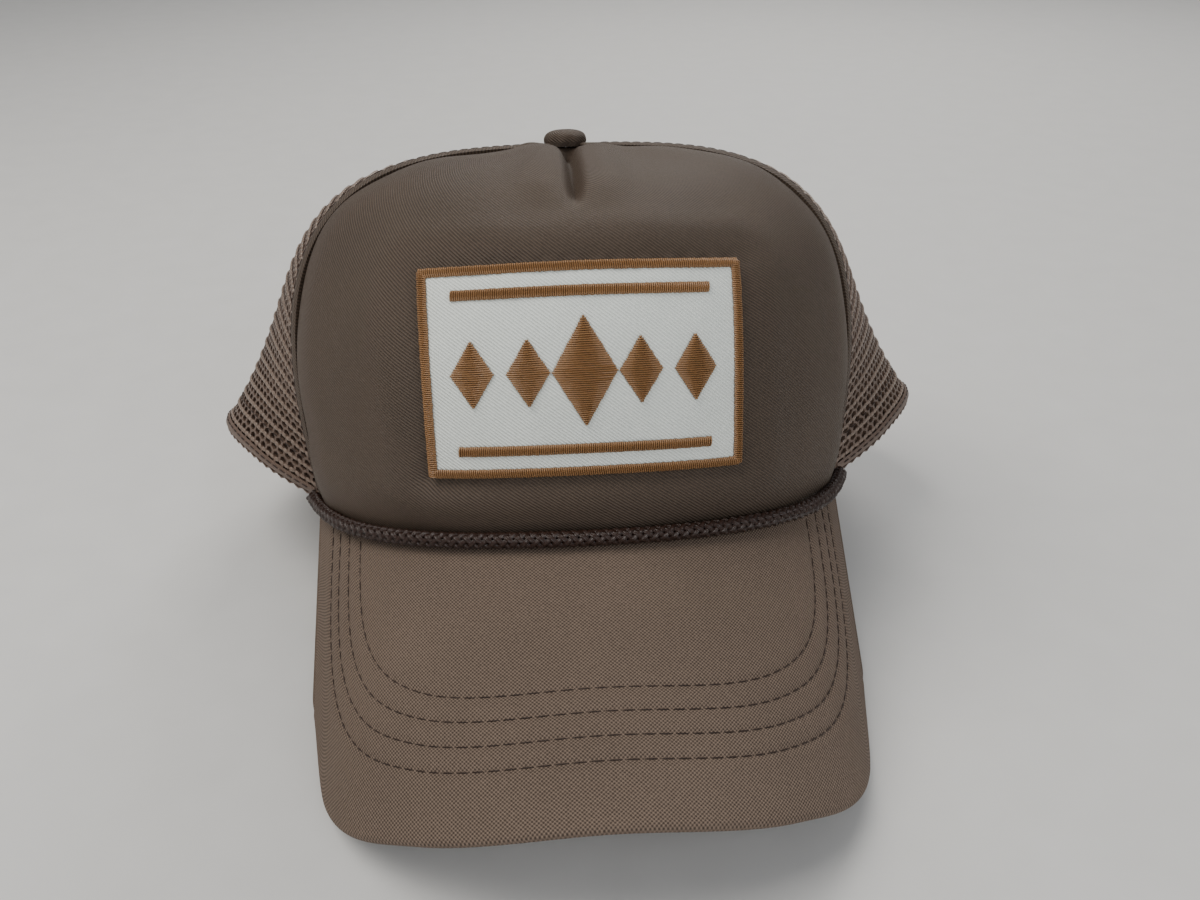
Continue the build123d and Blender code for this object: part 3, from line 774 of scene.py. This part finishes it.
# tape along a seam: a strip with two stitched ridges, narrowed near the button
def seamTape(name, angle, shift, width, depth, start, replaced):
    top = wallLength(angle) - lining["tapeTopGap"]

    def turned(share, length):
        reach = reachAt(angle, length)
        return angle + math.degrees((shift + share * min(width, reach)) / max(reach, 4.0))

    def place(u, v):
        length = start + v * (top - start)
        ridge = 0.25 * bump((u - 0.2) / 0.06) + 0.25 * bump((u - 0.8) / 0.06)
        return wall(turned(u - 0.5, length), length, depth + ridge)

    tape = makeGrid(name, 14, 90, place, lambda u, v: (u * width * mm, v * (top - start) * mm))
    modify(tape, "SOLIDIFY", thickness=lining["tapeThick"] * mm, offset=-1)
    finishPiece(tape, cloth["lining"], replaces=[replaced], smooth=60)
    for row, across in enumerate((-0.3, 0.3)):
        marks = [(turned(across, length), length) for length in np.linspace(start + 2, top - 2, 60)]
        line = [wall(a, length, depth + lining["tapeThick"] + 0.35) for a, length in marks]
        ups = [-wallNormal(a, length) for a, length in marks]
        stitchRow(name + "Stitches" + str(row), line, ups, lining["pitch"], lining["tapeStitch"])


for sideName, side in bothSides:
    seamTape("frontSeamTape_" + sideName, side * crown["seam"], side * 4.4, 8.0, 2.0, lining["tapeStart"],
             "front_seam_tape_" + sideName)
    seamTape("sideSeamTape_" + sideName, side * crown["side"], 0.0, 12.0, 1.6, lining["tapeStart"],
             "side_seam_tape_" + sideName)
seamTape("backCentreTape", 180.0, 0.0, 12.0, 1.6, lining["centreTapeStart"], "back_centre_tape")
print("linings made")

# folded binding round the arch at the back; a point of the rear wall by its place
# across and its level
def rearPoint(across, level):
    angle = 180.0
    for step in range(10):
        reach, height, along, out, drop = meridian(round(angle, 2))
        angle = 180.0 - math.degrees(math.asin(abs(across) / np.interp(level, height, reach)))
    reach, height, along, out, drop = meridian(round(angle, 2))
    return upright(math.copysign(angle, across), float(np.interp(level, height, along)), 0.0)


def archOutline(share):
    shoulder = opening["low"] + opening["sideHeight"]
    foot = hemHeight(180 - math.degrees(math.asin(opening["halfWidth"] / opening["cornerReach"]))) + 1.0
    straight = shoulder - foot
    rise = opening["height"] - opening["sideHeight"]
    total = 2 * straight + math.pi * (opening["halfWidth"] + rise) / 2
    travelled = share * total
    if travelled < straight:
        return opening["halfWidth"], foot + travelled
    if travelled > total - straight:
        return -opening["halfWidth"], foot + total - travelled
    turn = math.pi * (travelled - straight) / (total - 2 * straight)
    return opening["halfWidth"] * math.cos(turn), shoulder + rise * math.sin(turn)


@functools.lru_cache(maxsize=4000)
def archFrame(share):
    here = rearPoint(*archOutline(share))
    ahead = rearPoint(*archOutline(min(share + 0.01, 1.0)))
    behind = rearPoint(*archOutline(max(share - 0.01, 0.0)))
    along = (ahead - behind).normalized()
    level = rearPoint(here.x + 0.5, here.z) - rearPoint(here.x - 0.5, here.z)
    steep = rearPoint(here.x, here.z + 0.5) - rearPoint(here.x, here.z - 0.5)
    outward = steep.cross(level).normalized()
    outward = outward if outward.y > 0 else -outward
    away = along.cross(outward).normalized()
    away = away if away.dot(here - Vector((0, here.y, opening["low"]))) > 0 else -away
    far = rearPoint(here.x + opening["legs"] * away.x, here.z + opening["legs"] * away.z)
    return here, away, outward, (far - here).dot(outward)


# the binding's folded section: reach away from the arch's edge, depth in from the wall
foldSteps = [(8.0, 2.0), (5.4, 2.1), (2.7, 2.1), (0.6, 2.0), (-0.35, 1.8), (-0.7, 1.3), (-0.7, 0.65), (-0.7, 0.0),
             (-0.35, -0.5), (0.6, -0.75), (2.7, -0.9), (5.4, -0.9), (8.0, -0.7)]


def bindingPlace(u, v):
    here, away, outward, drop = archFrame(round(u, 4))
    across, depth = foldSteps[round(v * (len(foldSteps) - 1))]
    return rest(here + away * across + outward * (drop * max(across, 0) / opening["legs"] - depth))


binding = makeGrid("openingBinding", 160, len(foldSteps) - 1, bindingPlace, lambda u, v: (u * 0.17, v * 0.02))
modify(binding, "SOLIDIFY", thickness=opening["thick"] * mm, offset=-1)
finishPiece(binding, cloth["front"], replaces=["back_opening_binding"], smooth=60)
line, ups = [], []
for share in np.linspace(0.01, 0.99, 120):
    here, away, outward, drop = archFrame(round(float(share), 4))
    rise = drop * opening["stitchIn"] / opening["legs"] + opening["stitchLift"]
    line.append(rest(here + away * opening["stitchIn"] + outward * rise))
    ups.append((rest(here + outward) - rest(here)).normalized())
stitchRow("bindingStitches", line, ups, opening["stitchPitch"], opening["stitch"])
print("binding made")

# covered button
button = dict(radius=6.2, height=4.6, rim=1.3, base=138.1, gathers=9, gatherDepth=0.22, domeShare=0.55,
              rimShare=0.8)


def buttonPlace(u, v):
    turn = 2 * math.pi * u
    dome, rim = button["domeShare"], button["rimShare"]
    if v < dome:
        roll = v / dome * math.pi / 2
        r = button["radius"] * math.sin(roll) ** 0.8
        z = button["rim"] + (button["height"] - button["rim"]) * math.cos(roll) ** 0.75
    elif v < rim:
        r = button["radius"] * (1 - 0.08 * (v - dome) / (rim - dome))
        z = button["rim"] * (1 - (v - dome) / (rim - dome))
    else:
        r = button["radius"] * 0.92 * (1 - (v - rim) / (1 - rim) * 0.7)
        z = 0.0
    gather = button["gatherDepth"] / button["radius"] * (1 + math.sin(button["gathers"] * turn))
    r *= 1 - gather * ease((v - 0.3) / 0.3)
    return rest(Vector((r * math.sin(turn), crown["axisY"] - r * math.cos(turn), button["base"] + z)))


topButton = makeGrid("topButton", 72, 30, lambda u, v: buttonPlace(u, 1 - v),
                     lambda u, v: (u * 0.038, v * 0.014))
weld(topButton, 0.00001)
bpy.ops.mesh.fill_holes(sides=0)
faceOutwards(topButton)
finishPiece(topButton, cloth["front"], replaces=["top_button"], smooth=60)
print("button made")

# visor: cloth over a board, with four rows of stitches round it
visor = dict(
    clear=0.4, lengths=[(0, 73.5), (32, 75.5), (58, 77.5), (73.5, 63.0)],
    slopes=[(0, 31.0), (50, 41.5), (73.5, 48.0)], total=3.2, overhang=1.8, corner=20.0, cornerPower=2.6,
    sideLength=53.0, cover=0.45, rows=(15.5, 21.3, 27.1, 32.9), rowPower=5.0, rowSide=0.86, groove=0.42,
    grooveWidth=0.75, ridge=0.12, stitchDepth=0.55, flat=(0.180, 0.078), stitchPitch=3.8,
    stitch=(0.82, 0.00034, 0.0004),
)


def visorRun(angle):
    slope = math.radians(blendKeys(visor["slopes"], abs(angle)))
    run = Vector((0, -math.cos(slope), -math.sin(slope)))
    root = upright(angle, 0.0, -visor["clear"])
    acrossWay = upright(angle + 0.5, 0.0, -visor["clear"]) - upright(angle - 0.5, 0.0, -visor["clear"])
    outward = run.cross(acrossWay).normalized()
    return root, run, outward if outward.z > 0 else -outward, blendKeys(visor["lengths"], abs(angle))


visorAngles = np.linspace(0.0, crown["seam"], 120)
visorAcross, visorRoot = [0.0], [0.0]
for before, after in zip(visorAngles, visorAngles[1:]):
    step = visorRun(after)[0] - visorRun(before)[0]
    run = visorRun((before + after) / 2)[1]
    forward = step.dot(run)
    visorRoot.append(visorRoot[-1] + forward)
    visorAcross.append(visorAcross[-1] + (step - run * forward).length)
visorHalf = visorAcross[-1]
print("visor half width", visorHalf)


def visorPoint(across, down, depth):
    inside = min(abs(across), visorHalf)
    angle = math.copysign(float(np.interp(inside, visorAcross, visorAngles)), across)
    root, run, outward, reach = visorRun(angle)
    sideways = run.cross(outward)
    sideways = sideways if sideways.x > 0 else -sideways
    widen = math.copysign(visor["overhang"] * (inside / visorHalf) ** 8, across)
    return rest(root + run * down - outward * depth + sideways * widen), reach, outward


# the front corners are rounded into the sides
def visorReach(across):
    start = visorHalf - visor["corner"]
    reach = blendKeys(visor["lengths"], float(np.interp(min(abs(across), visorHalf), visorAcross, visorAngles)))
    if abs(across) > start:
        full = blendKeys(visor["lengths"], float(np.interp(start, visorAcross, visorAngles)))
        share = min((abs(across) - start) / visor["corner"], 1.0)
        power = visor["cornerPower"]
        rounded = (1 - share ** power) ** (1 / power)
        reach = min(reach, visor["sideLength"] + (full - visor["sideLength"]) * rounded)
    return reach


# one row of stitches: along the front edge, round a soft corner and up to the crown
def rowLine(offset):
    half = visorHalf - offset * visor["rowSide"]
    power = visor["rowPower"]
    seat = min(visorRoot[-1], 0.0)
    shares = np.concatenate([np.linspace(0, 0.9, 60), 1 - 0.1 * np.linspace(1, 0, 60)[1:] ** 3])
    line = []
    for share in shares:
        across = half * share
        rootHere = float(np.interp(across, visorAcross, visorRoot))
        front = visorReach(across) + rootHere - offset
        down = seat + (front - seat) * (1 - share ** power) ** (1 / power) - rootHere
        line.append((across, down))
    line = [spot for spot in line[:-1] if spot[1] > 1.5]
    line = [(-across, down) for across, down in reversed(line[1:])] + line
    flat = [Vector((across, down, 0)) for across, down in line]
    even, ups = evenSteps(flat, flat, 0.8)
    return [(spot.x, spot.y) for spot in even]


rowLines = [rowLine(offset) for offset in visor["rows"]]
rowMarks = np.array([(a, d) for line in rowLines for a, d in line])


def visorPlace(underneath):
    def place(u, v):
        across = visorHalf * math.sin((2 * u - 1) * math.pi / 2)
        reach = visorReach(across)
        down = reach * math.sin(v * math.pi / 2)
        edge = min(reach - down, (visorHalf - abs(across)) * 1.2)
        half = visor["total"] / 2
        sink = half * (1 - math.sqrt(max(0.0, 1 - (1 - min(edge, half) / half) ** 2)))
        near = float(np.min(np.hypot(rowMarks[:, 0] - across, rowMarks[:, 1] - down)))
        sink += visor["groove"] * bump(near / visor["grooveWidth"]) - visor["ridge"] * bump((near - 2.6) / 1.4)
        sink -= visor["ridge"] * bump((edge - 4.5) / 3.0)
        depth = visor["total"] - sink if underneath else sink
        return visorPoint(across, down, depth)[0]
    return place


for name, underneath, replaced in (("visorTopCover", False, "visor_top_cover"),
                                   ("visorBottomCover", True, "visor_bottom_cover")):
    spot = visorPlace(underneath)
    way = -1 if underneath else 1

    # the upper cover's rows run the other way, so that its faces point up
    def place(u, v, spot=spot, way=way):
        return spot(u, v if way < 0 else 1 - v)

    def flat(u, v, way=way):
        down = v if way < 0 else 1 - v
        return (visorHalf * mm * math.sin((u - 0.5) * math.pi), visor["flat"][1] * math.sin(down * math.pi / 2))

    cover = makeGrid(name, 230, 130, place, flat)
    modify(cover, "SOLIDIFY", thickness=visor["cover"] * mm, offset=-1)
    finishPiece(cover, cloth["visor"], replaces=[replaced], smooth=60)
    sunk = visor["groove"] * visor["stitchDepth"]
    depth = visor["total"] - sunk if underneath else sunk
    for row, marks in enumerate(rowLines):
        points = [visorPoint(a, d, depth) for a, d in marks]
        tilted = [(rest(p[2]) - rest(Vector((0, 0, 0)))).normalized() * way for p in points]
        stitchRow(name + "Stitches" + str(row), [p[0] for p in points], tilted, visor["stitchPitch"],
                  visor["stitch"])
print("visor made")

# patch: twill with a satin border and a plain satin motif
patchThread = dict(pitch=0.5, borderWidth=2.0, lean=0.25, borderBase=0.95, motifBase=1.0, height=0.85,
                   motifWidth=10.0, motifHeight=16.0, middleWidth=15.0, middleHeight=26.0, motifPitch=13.0,
                   barRise=18.5, barLength=60.0, barWidth=2.4)


def patchPoint(across, length, lift):
    return wall(acrossAngle(across, length), length, -lift)


def patchPlace(u, v):
    across = patch["width"] * (u - 0.5)
    length = patch["rise"] + patch["height"] * (v - 0.5)
    wave = 0.10 * math.sin(across * 0.35 + 1) * math.sin(length * 0.3)
    return patchPoint(across, length, 0.95 + wave)


patchTwill = makeGrid("patchTwill", 120, 80, patchPlace,
                      lambda u, v: (u * patch["width"] * mm, v * patch["height"] * mm))
modify(patchTwill, "SOLIDIFY", thickness=patch["thick"] * mm, offset=-1)
finishPiece(patchTwill, cloth["patch"], replaces=["patch_twill"], smooth=60)


# rounded threads laid side by side, each from one edge of the shape to the other
def threadBars(name, bars, replaced, base):
    sections, sides = 6, 5
    points, faces = [], []
    for start, end in bars:
        lift = 1.0 + 0.1 * random.random()
        first = len(points)
        way = Vector((end[0] - start[0], end[1] - start[1]))
        way.normalize()
        for i in range(sections + 1):
            t = i / sections
            x = start[0] + (end[0] - start[0]) * t
            y = start[1] + (end[1] - start[1]) * t
            arch = math.sin(math.pi * (0.06 + 0.88 * t)) ** 0.45 * patchThread["height"] * lift
            for k in range(sides):
                turn = 2 * math.pi * k / sides + 0.3
                sideways = math.cos(turn) * patchThread["pitch"] * 0.5
                rise = base + arch * 0.62 + math.sin(turn) * arch * 0.42
                points.append(patchPoint(x - way.y * sideways, y + way.x * sideways, rise))
        faces += tubeFaces(first, sections + 1, sides)
    obj = meshFromPoints(name, points, faces)
    layer = obj.data.uv_layers.new(name="flat").data
    for loop in obj.data.loops:
        index = loop.vertex_index
        layer[loop.index].uv = (index % sides * 0.13 * mm, index // sides * 0.35 * mm)
    return finishPiece(obj, cloth["satin"], replaces=replaced, smooth=70)


halfX, halfY = patch["width"] / 2, patch["height"] / 2
borderBars = []
for place in np.arange(-halfX + 0.3, halfX - 0.2, patchThread["pitch"]):
    for side in (-1, 1):
        outer = halfY + 0.25 + 0.12 * random.random()
        inner = halfY - patchThread["borderWidth"] + 0.15 * random.random()
        lean = patchThread["lean"] * side
        borderBars.append(((place, patch["rise"] + side * outer), (place + lean, patch["rise"] + side * inner)))
for place in np.arange(-halfY + 0.3, halfY - 0.2, patchThread["pitch"]):
    for side in (-1, 1):
        outer = halfX + 0.25 + 0.12 * random.random()
        inner = halfX - patchThread["borderWidth"] + 0.15 * random.random()
        lean = patchThread["lean"] * side
        borderBars.append(((side * outer, patch["rise"] + place), (side * inner, patch["rise"] + place + lean)))
threadBars("patchBorder", borderBars, ["patch_border"], patchThread["borderBase"])

# five lozenges, the middle one larger, between two bars
motifBars = []
for spot in range(-2, 3):
    size = "middle" if spot == 0 else "motif"
    wide = patchThread[size + "Width"] / 2
    tall = patchThread[size + "Height"] / 2
    for place in np.arange(-tall + 0.5, tall - 0.3, patchThread["pitch"]):
        reach = wide * (1 - abs(place) / tall) + 0.15 * random.random()
        motifBars.append(((patchThread["motifPitch"] * spot - reach, patch["rise"] + place),
                          (patchThread["motifPitch"] * spot + reach, patch["rise"] + place + 0.12)))
for side in (-1, 1):
    for place in np.arange(-patchThread["barLength"] / 2, patchThread["barLength"] / 2, patchThread["pitch"]):
        middle = patch["rise"] + side * patchThread["barRise"]
        half = patchThread["barWidth"] / 2 + 0.1 * random.random()
        motifBars.append(((place, middle - half), (place + 0.2, middle + half)))
threadBars("patchMotif", motifBars, ["patch_motif"], patchThread["motifBase"])
print("patch made")

# floor and light
clearSelection()
bpy.ops.mesh.primitive_plane_add(size=6, location=(0, 0, 0))
floor = bpy.context.object
floor.name = "floor"
floorMaterial = plasticMaterial("floorPaint", (0.62, 0.61, 0.59), (0.68, 0.67, 0.65), 0.7)
floorTree = floorMaterial.node_tree
backSide = make(floorTree, "ShaderNodeNewGeometry", {}, {}, 6)
clear = make(floorTree, "ShaderNodeBsdfTransparent", {}, {})
paint = Wire(floorTree, floorTree.nodes["Principled BSDF"].outputs[0])
surface = make(floorTree, "ShaderNodeMixShader", {}, {0: backSide, 1: paint, 2: clear})
floorTree.links.new(surface.socket, floorTree.nodes["Material Output"].inputs[0])
floor.data.materials.append(floorMaterial)

lights = dict(
    key=dict(place=(-0.5, -0.1, 1.0), size=0.7, power=9, colour=(1.0, 0.97, 0.92)),
    fill=dict(place=(0.5, -1.1, 0.75), size=1.0, power=8, colour=(0.93, 0.96, 1.0)),
    back=dict(place=(0.3, 0.9, 0.8), size=0.7, power=6, colour=(1.0, 0.98, 0.95)),
)
aim = Vector((0, 0, 0.06))
for name, light in lights.items():
    data = bpy.data.lights.new(name, "AREA")
    data.energy, data.size, data.color = light["power"], light["size"], light["colour"]
    obj = bpy.data.objects.new(name, data)
    obj.location = light["place"]
    obj.rotation_euler = (aim - obj.location).to_track_quat("-Z", "Y").to_euler()
    bpy.context.collection.objects.link(obj)
world = bpy.data.worlds.new("studio")
world.use_nodes = True
world.node_tree.nodes["Background"].inputs[0].default_value = (0.8, 0.82, 0.85, 1)
world.node_tree.nodes["Background"].inputs[1].default_value = 0.35
bpy.context.scene.world = world
